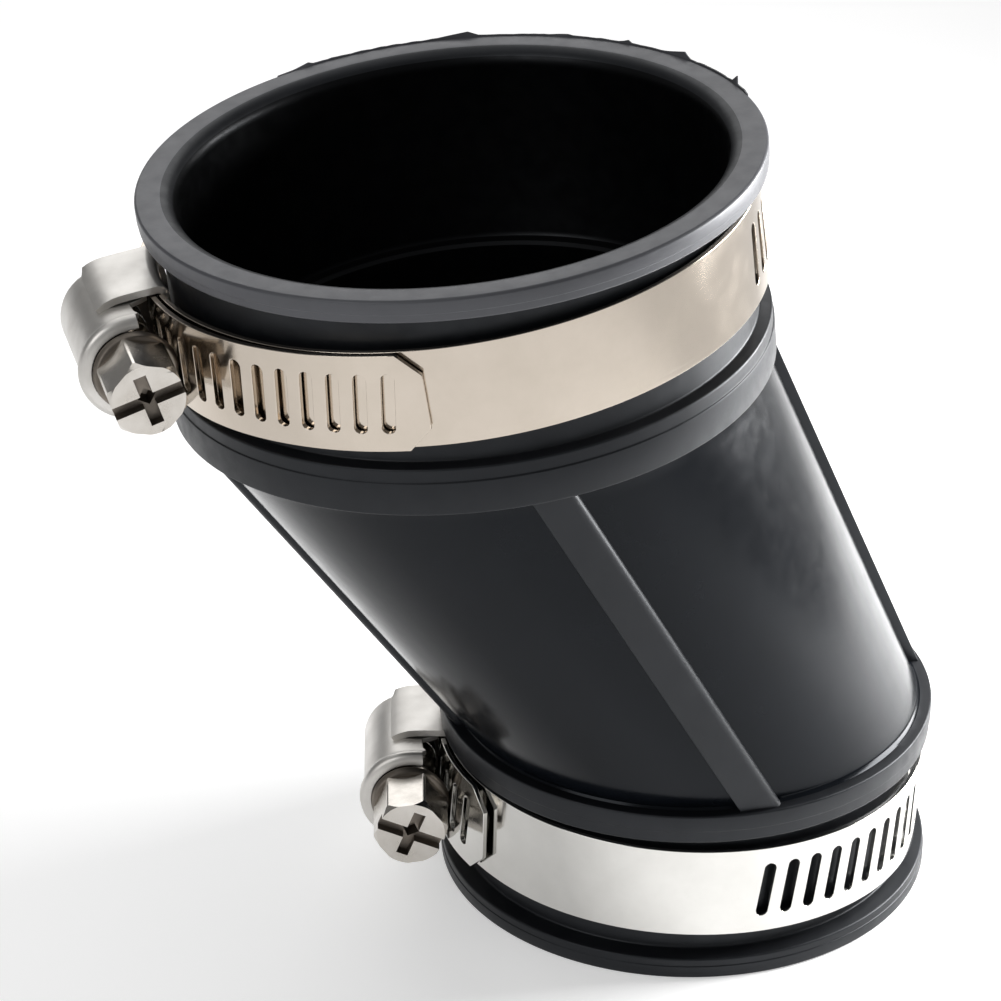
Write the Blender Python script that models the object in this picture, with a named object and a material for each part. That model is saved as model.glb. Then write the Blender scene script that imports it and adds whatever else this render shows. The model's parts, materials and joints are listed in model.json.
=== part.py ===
"""Flexible offset reducing pipe coupling with two worm-drive hose clamps (metres, +Z up)."""
import math

import bmesh
import bpy
from mathutils import Matrix, Vector

MM = 0.001
MERGE_DISTANCE = 0.0001 * MM
SMOOTH_ANGLE = math.radians(30.0)
SCREW_SMOOTH_ANGLE = math.radians(35.0)

# Overall: the lower cuff stands upright, the upper cuff is offset and leans a little.
HEIGHT = 98.0 * MM
OFFSET = 29.7 * MM
UPPER_LEAN = math.radians(-5.5)

# Upper cuff, for the larger pipe. Depths run down the cuff's axis from its end face.
UPPER_RIM_RADIUS = 36.5 * MM
UPPER_FLANGE_RADIUS = 35.8 * MM
UPPER_BORE_RADIUS = 31.8 * MM
UPPER_FLANGE_HEIGHT = 5.7 * MM
UPPER_GROOVE_PLAY = 4.7 * MM
UPPER_STOP_BEFORE_BARREL = 1.8 * MM
UPPER_STOP_STEP = 2.0 * MM

# Lower cuff, for the smaller pipe. Depths run up the cuff's axis from its end face.
LOWER_RIM_RADIUS = 31.0 * MM
LOWER_FLANGE_RADIUS = 31.0 * MM
LOWER_BORE_RADIUS = 26.3 * MM
LOWER_FLANGE_HEIGHT = 3.8 * MM
LOWER_GROOVE_PLAY = 3.2 * MM
LOWER_STOP_BEFORE_BARREL = 1.6 * MM
LOWER_STOP_STEP = 1.3 * MM

# Cuff details shared by both ends.
RIM_HEIGHT = 2.7 * MM
RIM_EDGE = 0.5 * MM
GROOVE_DEPTH = 2.4 * MM
GROOVE_DRAFT = 0.25 * MM
FLANGE_EDGE = 0.4 * MM
MOUTH_ROUND = 2.1 * MM
MOUTH_STEPS = 3

# Barrel between the cuffs, with its four ribs.
BARREL_STEP = 1.8 * MM
BARREL_WALL = 4.2 * MM
BARREL_STATIONS = 5
RIB_HEIGHT = 1.3 * MM
RIB_WIDTH = 5.2 * MM
RIB_DRAFT = 0.35 * MM
RIB_COUNT = 4
COLUMNS_BETWEEN_RIBS = 11

# Clamp band.
BAND_WIDTH = 11.8 * MM
BAND_THICKNESS = 0.6 * MM
BAND_LOOSENESS = 0.8 * MM
SLOT_PITCH = 3.12 * MM
SLOT_WIDTH = 1.5 * MM
SLOT_LENGTH = 7.3 * MM
SLOT_SLANT = math.radians(7.5)
TAIL_CORNER = 2.6 * MM
PLAIN_CELL_LENGTH = 4.68 * MM
SHORTEST_CELL = 1.0 * MM

# Places along the band, from the middle of the housing towards the screw's head.
LOOP_START = -4.8 * MM
LOOP_END = -6.5 * MM
TAIL_START = -0.8 * MM
TAIL_DELAY = 7.7 * MM
BLEND_LENGTH = 21.0 * MM

# Screw housing.
HOUSING_HALF_LENGTH = 8.6 * MM
HOUSING_SHELL = 0.65 * MM
HOUSING_FOOT_THICKNESS = 0.5 * MM
HOUSING_DOME_RADIUS = 5.8 * MM
HOUSING_STRAP_FRONT = 3.4 * MM
HOUSING_FLARE = 0.7 * MM
HOUSING_FLARE_LENGTH = 2.0 * MM
HOUSING_FLARE_RETURN = 0.4 * MM
HOUSING_FOOT_WIDTH = 2.2 * MM
STRAP_BULGE = 0.35 * MM
STRAP_STEPS = 4
DOME_STEPS = 6

# Worm screw.
THREAD_RADIUS = 3.3 * MM
CORE_RADIUS = 2.4 * MM
THREAD_CREST = 1.0 * MM
THREAD_ROOT = 1.9 * MM
SCREW_SEGMENTS = 24
THREAD_RINGS_PER_TURN = 6
THREAD_FADE_RINGS = 2
NECK_LENGTH = 1.2 * MM
WASHER_RADIUS = 4.6 * MM
WASHER_THICKNESS = 0.9 * MM
HEX_ACROSS_FLATS = 7.7 * MM
HEX_HEIGHT = 5.6 * MM
HEX_CHAMFER = 0.7 * MM
RECESS_DEPTH = 2.2 * MM
RECESS_WIDTH = 1.5 * MM
RECESS_LENGTH = 6.8 * MM

# Gap kept between touching pieces, and the layout of the two clamps.
CLEARANCE = 0.25 * MM
UPPER_TILT_AZIMUTH = math.radians(262.0)
LOWER_TILT_AZIMUTH = math.radians(108.0)
UPPER_HOUSING_AZIMUTH = math.radians(180.5)
LOWER_HOUSING_AZIMUTH = math.radians(166.5)
UPPER_TAIL_SLOTS = 13
LOWER_TAIL_SLOTS = 5
UPPER_PLAIN_ANGLE = math.radians(149.0)
LOWER_PLAIN_ANGLE = math.radians(104.0)


def remove_everything():
    for obj in list(bpy.data.objects):
        bpy.data.objects.remove(obj, do_unlink=True)


def make_material(name, color, metallic, roughness):
    material = bpy.data.materials.new(name)
    material.use_nodes = True
    shader = material.node_tree.nodes["Principled BSDF"]
    shader.inputs["Base Color"].default_value = (*color, 1.0)
    shader.inputs["Metallic"].default_value = metallic
    shader.inputs["Roughness"].default_value = roughness
    return material


def add_object(name, mesh_builder, material, matrix, sharp_angle):
    """Turns a bmesh into a named object whose origin sits at the matrix."""
    bmesh.ops.recalc_face_normals(mesh_builder, faces=mesh_builder.faces[:])
    mesh = bpy.data.meshes.new(name)
    mesh_builder.to_mesh(mesh)
    mesh_builder.free()
    mesh.shade_smooth()
    mesh.set_sharp_from_angle(angle=sharp_angle)
    mesh.materials.append(material)
    obj = bpy.data.objects.new(name, mesh)
    bpy.context.scene.collection.objects.link(obj)
    obj.matrix_world = matrix
    return obj


def loft(rings, closed_path):
    """Skins a list of equal closed rings; the path is either closed on itself or capped."""
    builder = bmesh.new()
    loops = [[builder.verts.new(point) for point in ring] for ring in rings]
    pairs = list(zip(loops, loops[1:]))
    if closed_path:
        pairs.append((loops[-1], loops[0]))
    for first, second in pairs:
        count = len(first)
        for index in range(count):
            after = (index + 1) % count
            builder.faces.new((first[index], first[after], second[after], second[index]))
    if not closed_path:
        builder.faces.new(loops[0])
        builder.faces.new(loops[-1])
    return builder


# ---- coupling body ----

def column_angles(radius):
    """Azimuths of the skin's columns, with the rib flags: rib edges keep their width at any radius."""
    top = math.asin(RIB_WIDTH / 2 / radius)
    foot = math.asin((RIB_WIDTH / 2 + RIB_DRAFT) / radius)
    quadrant = 2 * math.pi / RIB_COUNT
    columns = []
    for rib in range(RIB_COUNT):
        middle = rib * quadrant
        columns += [(middle - top, True), (middle + top, True)]
        span = quadrant - 2 * foot
        for index in range(COLUMNS_BETWEEN_RIBS):
            angle = middle + foot + span * index / (COLUMNS_BETWEEN_RIBS - 1)
            columns.append((angle, False))
    return columns


def body_ring(center, lean, radius, rib_height=0.0):
    """One ring of the skin about a centre, leaning about Y."""
    turn = Matrix.Rotation(lean, 3, "Y")
    ring = []
    for angle, on_rib in column_angles(radius):
        reach = radius + rib_height if on_rib else radius
        ring.append(center + turn @ Vector((reach * math.cos(angle), reach * math.sin(angle), 0)))
    return ring


def flange_top(play):
    """Depth of a flange's near face: the groove before it takes the housing's width, with play."""
    return RIM_HEIGHT + BAND_WIDTH + 2 * (CLEARANCE + HOUSING_SHELL) + play


def cuff_outline(rim_radius, flange_radius, near_depth, far_depth):
    """Outer profile of a cuff as (depth, radius), from its end face inwards."""
    groove_radius = rim_radius - GROOVE_DEPTH
    return [
        (0.0, rim_radius - RIM_EDGE),
        (RIM_EDGE, rim_radius),
        (RIM_HEIGHT, rim_radius),
        (RIM_HEIGHT + GROOVE_DRAFT, groove_radius),
        (near_depth - GROOVE_DRAFT, groove_radius),
        (near_depth, flange_radius),
        (far_depth - FLANGE_EDGE, flange_radius),
        (far_depth, flange_radius - FLANGE_EDGE),
    ]


def bore_outline(bore_radius, stop_depth, stop_step):
    """Inner profile of a cuff as (depth, radius), from its end face inwards to the pipe stop."""
    mouth = []
    for step in range(MOUTH_STEPS + 1):
        angle = math.pi / 2 * step / MOUTH_STEPS
        depth = MOUTH_ROUND * (1 - math.cos(angle))
        radius = bore_radius + MOUTH_ROUND * (1 - math.sin(angle))
        mouth.append((depth, radius))
    return mouth + [(stop_depth, bore_radius), (stop_depth + GROOVE_DRAFT, bore_radius - stop_step)]


def upper_center(depth):
    axis = Matrix.Rotation(UPPER_LEAN, 3, "Y") @ Vector((0, 0, -1))
    return Vector((-OFFSET, 0, HEIGHT)) + axis * depth


def barrel_rings(lower_radius, lower_height, upper_radius, upper_depth, rib_height):
    """Rings of the slanting barrel, from the lower cuff to the upper one."""
    start = Vector((0, 0, lower_height))
    end = upper_center(upper_depth)
    rings = []
    for index in range(BARREL_STATIONS):
        share = index / (BARREL_STATIONS - 1)
        radius = lower_radius + (upper_radius - lower_radius) * share
        rings.append(body_ring(start.lerp(end, share), UPPER_LEAN * share, radius, rib_height))
    return rings


def build_body(material):
    lower_top = flange_top(LOWER_GROOVE_PLAY)
    upper_top = flange_top(UPPER_GROOVE_PLAY)
    lower_bottom = lower_top + LOWER_FLANGE_HEIGHT
    upper_bottom = upper_top + UPPER_FLANGE_HEIGHT
    lower_outer = cuff_outline(LOWER_RIM_RADIUS, LOWER_FLANGE_RADIUS, lower_top, lower_bottom)
    upper_outer = cuff_outline(UPPER_RIM_RADIUS, UPPER_FLANGE_RADIUS, upper_top, upper_bottom)
    lower_stop = lower_bottom - LOWER_STOP_BEFORE_BARREL
    upper_stop = upper_bottom - UPPER_STOP_BEFORE_BARREL
    lower_inner = bore_outline(LOWER_BORE_RADIUS, lower_stop, LOWER_STOP_STEP)
    upper_inner = bore_outline(UPPER_BORE_RADIUS, upper_stop, UPPER_STOP_STEP)
    lower_barrel = LOWER_FLANGE_RADIUS - BARREL_STEP
    upper_barrel = UPPER_FLANGE_RADIUS - BARREL_STEP
    rings = [body_ring(Vector((0, 0, depth)), 0.0, radius) for depth, radius in lower_outer]
    rings += barrel_rings(lower_barrel, lower_bottom, upper_barrel, upper_bottom, RIB_HEIGHT)
    for depth, radius in reversed(upper_outer):
        rings.append(body_ring(upper_center(depth), UPPER_LEAN, radius))
    for depth, radius in upper_inner:
        rings.append(body_ring(upper_center(depth), UPPER_LEAN, radius))
    passage = barrel_rings(lower_barrel - BARREL_WALL, lower_bottom,
                           upper_barrel - BARREL_WALL, upper_bottom, 0.0)
    rings += reversed(passage)
    for depth, radius in reversed(lower_inner):
        rings.append(body_ring(Vector((0, 0, depth)), 0.0, radius))
    builder = loft(rings, closed_path=True)
    return add_object("coupling_body", builder, material, Matrix.Identity(4), SMOOTH_ANGLE)


# ---- clamp ----

class Clamp:
    """Sizes and places of one clamp, all derived from the cuff it goes round."""

    def __init__(self, prefix, rim_radius, play, groove_matrix, tilt_azimuth,
                 housing_azimuth, tail_slots, plain_angle):
        self.prefix = prefix
        self.housing_azimuth = housing_azimuth
        self.tail_slots = tail_slots
        self.plain_angle = plain_angle
        self.groove_radius = rim_radius - GROOVE_DEPTH
        self.inner_radius = self.groove_radius + BAND_LOOSENESS
        self.mean_radius = self.inner_radius + BAND_THICKNESS / 2
        self.wall_in = BAND_WIDTH / 2 + CLEARANCE
        self.wall_out = self.wall_in + HOUSING_SHELL
        # The loose clamp tilts in its groove until the housing is a clearance from the groove's walls.
        tilt = (play / 2 - GROOVE_DRAFT - CLEARANCE) / rim_radius
        tilt_axis = Vector((math.cos(tilt_azimuth), math.sin(tilt_azimuth), 0))
        self.matrix = groove_matrix @ Matrix.Rotation(tilt, 4, tilt_axis)
        self.foot_bottom = self.groove_radius + CLEARANCE + self.wall_out * math.sin(tilt)
        self.foot_top = self.foot_bottom + HOUSING_FOOT_THICKNESS
        self.layer_one = self.foot_top + CLEARANCE
        self.layer_two = self.layer_one + BAND_THICKNESS + CLEARANCE
        self.tail_outside = self.layer_two + BAND_THICKNESS
        # The screw clears the tail below its thread, and further along below its wider head.
        head_start = HOUSING_HALF_LENGTH + CLEARANCE
        tail_at_head = math.sqrt(self.tail_outside ** 2 - head_start ** 2)
        self.screw_height = CLEARANCE + max(self.tail_outside + THREAD_RADIUS, tail_at_head + WASHER_RADIUS)

    def housing_matrix(self):
        """Housing frame: +X outwards, +Y along the screw towards its head, +Z along the cuff."""
        return self.matrix @ Matrix.Rotation(self.housing_azimuth, 4, "Z")


def smooth_step(value):
    value = min(max(value, 0.0), 1.0)
    return value * value * (3 - 2 * value)


def loop_radius(clamp, angle):
    """Inside radius of the band's loop; it rises to the housing floor and then over its own start."""
    start = clamp.layer_one - clamp.inner_radius
    end = clamp.layer_two - clamp.inner_radius
    full_turn = 2 * math.pi
    blend = BLEND_LENGTH / clamp.mean_radius
    loop_end = full_turn + LOOP_END / clamp.mean_radius
    rise = start * smooth_step(1 - angle / blend)
    rise += end * smooth_step(1 - (loop_end - angle) / blend)
    return clamp.inner_radius + rise


def tail_radius(clamp, angle):
    """Inside radius of the band's tail, lying a clearance above the loop's start."""
    resting = clamp.inner_radius + BAND_THICKNESS + CLEARANCE
    past_delay = (angle * clamp.mean_radius - TAIL_DELAY) / BLEND_LENGTH
    rise = (clamp.layer_two - resting) * smooth_step(1 - past_delay)
    return resting + rise


def band_cells(length, slotted_from, slotted_to):
    """Splits a strip's length into cells as (start, end, slotted)."""
    cells = []
    position = 0.0
    while position < slotted_from - SHORTEST_CELL:
        end = min(position + PLAIN_CELL_LENGTH, slotted_from)
        if slotted_from - end < SHORTEST_CELL:
            end = slotted_from
        cells.append((position, end, False))
        position = end
    slots = int(round((slotted_to - position) / SLOT_PITCH))
    for _ in range(slots):
        cells.append((position, position + SLOT_PITCH, True))
        position += SLOT_PITCH
    if length - position > SHORTEST_CELL:
        cells.append((position, length, False))
    return cells


def strip_mesh(cells, place, corner):
    """Builds a wrapped strip; place(distance, height, layer) gives a point, layer 0 in, 1 out."""
    builder = bmesh.new()
    half = BAND_WIDTH / 2
    columns = [cells[0][0]] + [end for _, end, _ in cells]
    edge = {}
    last = len(columns) - 1
    for index, distance in enumerate(columns):
        top = half - corner if index == last else half
        for layer in (0, 1):
            edge[index, layer, 0] = builder.verts.new(place(distance, -top, layer))
            edge[index, layer, 1] = builder.verts.new(place(distance, top, layer))
    slope = math.tan(SLOT_SLANT)
    straight = SLOT_LENGTH / 2 - SLOT_WIDTH / 2
    tip = SLOT_LENGTH / 2
    outline = [(-1, -straight), (0, -tip), (1, -straight), (1, straight), (0, tip), (-1, straight)]
    for index, (start, end, slotted) in enumerate(cells):
        slot = {}
        middle = (start + end) / 2
        for layer in (0, 1):
            a = edge[index, layer, 0]
            b = edge[index + 1, layer, 0]
            c = edge[index + 1, layer, 1]
            d = edge[index, layer, 1]
            if not slotted:
                builder.faces.new((a, b, c, d))
                continue
            ring = []
            for side, height in outline:
                distance = middle + side * SLOT_WIDTH / 2 + height * slope
                ring.append(builder.verts.new(place(distance, height, layer)))
            slot[layer] = ring
            low_left, low_tip, low_right, high_right, high_tip, high_left = ring
            builder.faces.new((a, low_left, high_left, d))
            builder.faces.new((b, c, high_right, low_right))
            builder.faces.new((a, low_tip, low_left))
            builder.faces.new((a, b, low_tip))
            builder.faces.new((b, low_right, low_tip))
            builder.faces.new((d, high_left, high_tip))
            builder.faces.new((d, high_tip, c))
            builder.faces.new((c, high_tip, high_right))
        if slotted:
            count = len(outline)
            for point in range(count):
                after = (point + 1) % count
                builder.faces.new((slot[0][point], slot[0][after], slot[1][after], slot[1][point]))
        for side in (0, 1):
            near = edge[index, 0, side]
            far = edge[index + 1, 0, side]
            builder.faces.new((near, far, edge[index + 1, 1, side], edge[index, 1, side]))
    for index in (0, last):
        builder.faces.new((edge[index, 0, 0], edge[index, 0, 1], edge[index, 1, 1], edge[index, 1, 0]))
    return builder


def build_band(clamp, name, radius_at, start, cells, corner, material):
    """A strip wrapped about the clamp's axis; distances are measured on the loop's mean radius."""

    def place(distance, height, layer):
        angle = (start + distance) / clamp.mean_radius
        radius = radius_at(clamp, angle) + layer * BAND_THICKNESS
        return Vector((radius * math.cos(angle), radius * math.sin(angle), height))

    builder = strip_mesh(cells, place, corner)
    return add_object(name, builder, material, clamp.housing_matrix(), SMOOTH_ANGLE)


def build_bands(clamp, material):
    loop_length = 2 * math.pi * clamp.mean_radius + LOOP_END - LOOP_START
    slotted_from = clamp.plain_angle * clamp.mean_radius - LOOP_START
    cells = band_cells(loop_length, slotted_from, loop_length)
    build_band(clamp, clamp.prefix + "_band_loop", loop_radius, LOOP_START, cells, 0.0, material)
    slotted = clamp.tail_slots * SLOT_PITCH
    cells = band_cells(slotted + TAIL_CORNER, 0.0, slotted)
    build_band(clamp, clamp.prefix + "_band_tail", tail_radius, TAIL_START, cells, TAIL_CORNER, material)


def arc_height(radius, along):
    """Height above the clamp's axis of an arc about that axis, at a distance along the screw."""
    return math.sqrt(radius * radius - along * along)


def dome_section(clamp, along, has_cavity, flare):
    """Outline of the dome over the screw as (across, height); the cavity is left out at the rear wall."""
    center = clamp.screw_height
    outer = HOUSING_DOME_RADIUS + flare
    inner = outer - HOUSING_SHELL
    lip = arc_height(clamp.tail_outside + CLEARANCE, along)
    outline = []
    for step in range(DOME_STEPS + 1):
        angle = math.pi / 2 * (1 - step / DOME_STEPS)
        outline.append((outer * math.cos(angle), center + outer * math.sin(angle)))
    outline += [(outer, lip), (inner, lip)]
    for step in range(DOME_STEPS + 1):
        angle = math.pi / 2 * step / DOME_STEPS
        top = center + inner * math.sin(angle) if has_cavity else lip + CLEARANCE * math.sin(angle)
        outline.append((inner * math.cos(angle), top))
    return outline + [(-across, height) for across, height in reversed(outline[1:-1])]


def strap_section(clamp, along, side):
    """Outline of one side strap as (across, height): from the dome's wall down and under the band."""
    lip = arc_height(clamp.tail_outside + CLEARANCE, along)
    foot_bottom = arc_height(clamp.foot_bottom, along)
    foot_top = arc_height(clamp.foot_top, along)
    foot_in = clamp.wall_out - HOUSING_FOOT_WIDTH
    in_dome_wall = HOUSING_DOME_RADIUS - HOUSING_SHELL / 2
    shoulder = clamp.screw_height - CLEARANCE
    outline = [
        (in_dome_wall, shoulder),
        (HOUSING_DOME_RADIUS + STRAP_BULGE, shoulder),
        (clamp.wall_out, lip + HOUSING_SHELL),
        (clamp.wall_out, foot_bottom),
        (foot_in, foot_bottom),
        (foot_in, foot_top),
        (clamp.wall_in, foot_top),
        (clamp.wall_in, lip + CLEARANCE),
        (in_dome_wall, lip + CLEARANCE),
    ]
    return [(across * side, height) for across, height in outline]


def loft_sections(name, sections, material):
    """Lofts (along, outline) pairs in the housing frame and returns a capped object."""
    rings = [[Vector((height, along, across)) for across, height in outline] for along, outline in sections]
    builder = loft(rings, closed_path=False)
    bmesh.ops.remove_doubles(builder, verts=builder.verts[:], dist=MERGE_DISTANCE)
    bmesh.ops.triangulate(builder, faces=[face for face in builder.faces if len(face.verts) > 4])
    return add_object(name, builder, material, Matrix.Identity(4), SMOOTH_ANGLE)


def build_housing(clamp, material):
    rear = -HOUSING_HALF_LENGTH
    rear_wall = rear + HOUSING_SHELL
    front = HOUSING_HALF_LENGTH
    flare_start = front - HOUSING_FLARE_LENGTH
    stations = [
        (rear, False, -HOUSING_FLARE),
        (rear + HOUSING_SHELL / 2, False, 0.0),
        (rear_wall, False, 0.0),
        (rear_wall, True, 0.0),
        (rear_wall / 2, True, 0.0),
        (0.0, True, 0.0),
        (flare_start / 2, True, 0.0),
        (flare_start, True, 0.0),
        (flare_start + HOUSING_FLARE_LENGTH / 2, True, HOUSING_FLARE),
        (front - HOUSING_FLARE_RETURN, True, HOUSING_FLARE),
        (front, True, HOUSING_FLARE / 2),
    ]
    name = clamp.prefix + "_clamp_housing"
    sections = [(station[0], dome_section(clamp, *station)) for station in stations]
    housing = loft_sections(name, sections, material)
    strap_rear = rear_wall + HOUSING_SHELL
    for side in (-1, 1):
        sections = []
        for step in range(STRAP_STEPS + 1):
            along = strap_rear + (HOUSING_STRAP_FRONT - strap_rear) * step / STRAP_STEPS
            sections.append((along, strap_section(clamp, along, side)))
        apply_boolean(housing, loft_sections("strap_tool", sections, material), "UNION")
    housing.matrix_world = clamp.housing_matrix()


def thread_rings(start, end):
    """Rings of the threaded shank: the crest turns with each ring, which makes a right-hand helix."""
    lead = SLOT_PITCH
    count = int(round((end - start) / lead * THREAD_RINGS_PER_TURN))
    crest = THREAD_CREST / lead
    flank = (THREAD_ROOT - THREAD_CREST) / lead
    rings = []
    for index in range(count + 1):
        along = start + (end - start) * index / count
        fade = min(1.0, index / THREAD_FADE_RINGS, (count - index) / THREAD_FADE_RINGS)
        ring = []
        for angle in screw_angles():
            phase = (along / lead + angle / (2 * math.pi)) % 1.0
            distance = min(phase, 1.0 - phase)
            height = 1.0 - smooth_step((distance - crest / 2) / flank)
            ring.append((CORE_RADIUS + (THREAD_RADIUS - CORE_RADIUS) * height * fade, angle, along))
        rings.append(ring)
    return rings


def screw_angles():
    return [2 * math.pi * step / SCREW_SEGMENTS for step in range(SCREW_SEGMENTS)]


def hex_ring(corner_limit, along):
    """A hexagon's outline, its corners cut back to a limiting radius."""
    sector = math.pi / 3
    ring = []
    for angle in screw_angles():
        local = (angle + sector / 2) % sector - sector / 2
        ring.append((min(HEX_ACROSS_FLATS / 2 / math.cos(local), corner_limit), angle, along))
    return ring


def build_screw(clamp, material):
    """Worm screw along +Y of its own frame, with its head at +Y."""
    shank_start = -HOUSING_HALF_LENGTH + HOUSING_SHELL + CLEARANCE
    head_start = HOUSING_HALF_LENGTH + CLEARANCE
    washer_end = head_start + WASHER_THICKNESS
    head_end = washer_end + HEX_HEIGHT
    corner = HEX_ACROSS_FLATS / 2 / math.cos(math.pi / 6)

    def round_ring(radius, along):
        return [(radius, angle, along) for angle in screw_angles()]

    profile = thread_rings(shank_start, head_start - NECK_LENGTH) + [
        round_ring(CORE_RADIUS, head_start),
        round_ring(WASHER_RADIUS - CLEARANCE, head_start),
        round_ring(WASHER_RADIUS, head_start + WASHER_THICKNESS / 3),
        round_ring(WASHER_RADIUS - CLEARANCE, washer_end),
        hex_ring(corner, washer_end),
        hex_ring(corner, head_end - HEX_CHAMFER),
        hex_ring(corner - HEX_CHAMFER, head_end),
    ]
    rings = [[Vector((r * math.cos(a), y, r * math.sin(a))) for r, a, y in ring] for ring in profile]
    builder = loft(rings, closed_path=False)
    identity = Matrix.Identity(4)
    screw = add_object(clamp.prefix + "_worm_screw", builder, material, identity, SCREW_SMOOTH_ANGLE)
    for turn in (0.0, math.pi / 2):
        cutter = bmesh.new()
        bmesh.ops.create_cube(cutter, size=1.0)
        bmesh.ops.scale(cutter, vec=(RECESS_LENGTH, 2 * RECESS_DEPTH, RECESS_WIDTH), verts=cutter.verts[:])
        place = Matrix.Translation((0, head_end, 0)) @ Matrix.Rotation(turn, 4, "Y")
        tool = add_object("recess_tool", cutter, material, place, SCREW_SMOOTH_ANGLE)
        apply_boolean(screw, tool, "DIFFERENCE")
    screw.matrix_world = clamp.housing_matrix() @ Matrix.Translation((clamp.screw_height, 0, 0))


def apply_boolean(target, tool, operation):
    """Joins a tool to a target or subtracts it, then deletes the tool."""
    modifier = target.modifiers.new("boolean", "BOOLEAN")
    modifier.operation = operation
    modifier.solver = "EXACT"
    modifier.object = tool
    bpy.context.view_layer.update()
    depsgraph = bpy.context.evaluated_depsgraph_get()
    mesh = bpy.data.meshes.new_from_object(target.evaluated_get(depsgraph))
    target.modifiers.clear()
    target.data = mesh
    bpy.data.objects.remove(tool, do_unlink=True)


def groove_middle(play):
    """Depth of the band groove's middle below a cuff's end face."""
    return (RIM_HEIGHT + flange_top(play)) / 2


def center_on_footprint():
    """Moves everything so that the footprint's middle is at the origin, standing on z = 0."""
    bpy.context.view_layer.update()
    low = Vector((math.inf, math.inf, math.inf))
    high = -low
    meshes = [obj for obj in bpy.data.objects if obj.type == "MESH"]
    for obj in meshes:
        for vertex in obj.data.vertices:
            point = obj.matrix_world @ vertex.co
            low = Vector(map(min, low, point))
            high = Vector(map(max, high, point))
    shift = Matrix.Translation((-(low.x + high.x) / 2, -(low.y + high.y) / 2, -low.z))
    for obj in meshes:
        obj.matrix_world = shift @ obj.matrix_world


def main():
    remove_everything()
    rubber = make_material("elastomer", (0.02, 0.022, 0.026), 0.0, 0.4)
    build_body(rubber)
    upper_groove = Matrix.Translation(upper_center(groove_middle(UPPER_GROOVE_PLAY)))
    upper_groove = upper_groove @ Matrix.Rotation(UPPER_LEAN, 4, "Y")
    lower_groove = Matrix.Translation((0, 0, groove_middle(LOWER_GROOVE_PLAY)))
    layouts = [
        ("upper", UPPER_RIM_RADIUS, UPPER_GROOVE_PLAY, upper_groove, UPPER_TILT_AZIMUTH,
         UPPER_HOUSING_AZIMUTH, UPPER_TAIL_SLOTS, UPPER_PLAIN_ANGLE),
        ("lower", LOWER_RIM_RADIUS, LOWER_GROOVE_PLAY, lower_groove, LOWER_TILT_AZIMUTH,
         LOWER_HOUSING_AZIMUTH, LOWER_TAIL_SLOTS, LOWER_PLAIN_ANGLE),
    ]
    for layout in layouts:
        clamp = Clamp(*layout)
        band_steel = make_material(clamp.prefix + "_band_steel", (0.72, 0.7, 0.66), 1.0, 0.15)
        housing_steel = make_material(clamp.prefix + "_housing_steel", (0.7, 0.69, 0.66), 1.0, 0.32)
        screw_steel = make_material(clamp.prefix + "_screw_steel", (0.66, 0.65, 0.62), 1.0, 0.22)
        build_bands(clamp, band_steel)
        build_housing(clamp, housing_steel)
        build_screw(clamp, screw_steel)
    center_on_footprint()


main()
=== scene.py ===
import json
import math

import bmesh
import bpy
import numpy
from mathutils import Matrix, Vector, noise


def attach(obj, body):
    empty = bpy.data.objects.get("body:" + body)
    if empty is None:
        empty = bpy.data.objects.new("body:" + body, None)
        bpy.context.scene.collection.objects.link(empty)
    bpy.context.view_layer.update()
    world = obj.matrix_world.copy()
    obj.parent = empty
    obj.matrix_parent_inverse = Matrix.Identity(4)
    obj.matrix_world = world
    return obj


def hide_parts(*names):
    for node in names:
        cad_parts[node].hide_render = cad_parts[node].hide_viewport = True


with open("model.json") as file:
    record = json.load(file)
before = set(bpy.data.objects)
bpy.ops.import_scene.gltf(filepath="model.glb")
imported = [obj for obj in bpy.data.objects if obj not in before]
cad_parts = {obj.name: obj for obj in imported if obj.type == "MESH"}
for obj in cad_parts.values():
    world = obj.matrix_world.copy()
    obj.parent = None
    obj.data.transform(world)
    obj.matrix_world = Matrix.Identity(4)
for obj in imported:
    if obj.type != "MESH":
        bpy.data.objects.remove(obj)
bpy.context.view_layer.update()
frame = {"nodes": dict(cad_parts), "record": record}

mm = 0.001
hair = 0.01 * mm  # too small to see: how near a point lies to be picked

# the frame's own places: joints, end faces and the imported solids
record = frame["record"]
jointNamed = {joint["name"]: joint for joint in record["behaviour"]["joints"]}
mountNamed = {mount["name"]: mount for mount in record["mounts"]}
upperMount = mountNamed["upper_end_face"]
lowerMount = mountNamed["lower_end_face"]
upperEnd = Vector((upperMount["pos_m"][0], 0, upperMount["pos_m"][2]))
upperAxis = Vector(upperMount["axis"]).normalized()
upperLean = math.atan2(upperAxis.x, upperAxis.z)
lowerEnd = Vector((lowerMount["pos_m"][0] - lowerMount["pos_m"][1], 0, 0))


def openEdit(piece):
    makeActive(piece)
    bpy.ops.object.mode_set(mode="EDIT")
    bpy.ops.mesh.select_mode(type="VERT")
    bpy.ops.mesh.select_all(action="DESELECT")


def closeEdit():
    bpy.ops.object.mode_set(mode="OBJECT")


def pickAll():
    bpy.ops.mesh.select_all(action="SELECT")


def pullOut(step):
    bpy.ops.mesh.extrude_region_move(TRANSFORM_OT_translate={"value": step})


def scaleAbout(center, size):
    bpy.ops.transform.resize(value=size, center_override=center)


def applyPlace():
    bpy.ops.object.transform_apply(location=True, rotation=True, scale=True)


def makeActive(piece):
    clearSelection()
    piece.select_set(True)
    bpy.context.view_layer.objects.active = piece


def clearSelection():
    if bpy.context.mode != "OBJECT":
        closeEdit()
    bpy.ops.object.select_all(action="DESELECT")


def startEdit(name):
    # names the primitive just added, applies its place and opens it with nothing picked
    applyPlace()
    piece = bpy.context.object
    piece.name = name
    piece.data.name = name
    openEdit(piece)
    return piece


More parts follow.
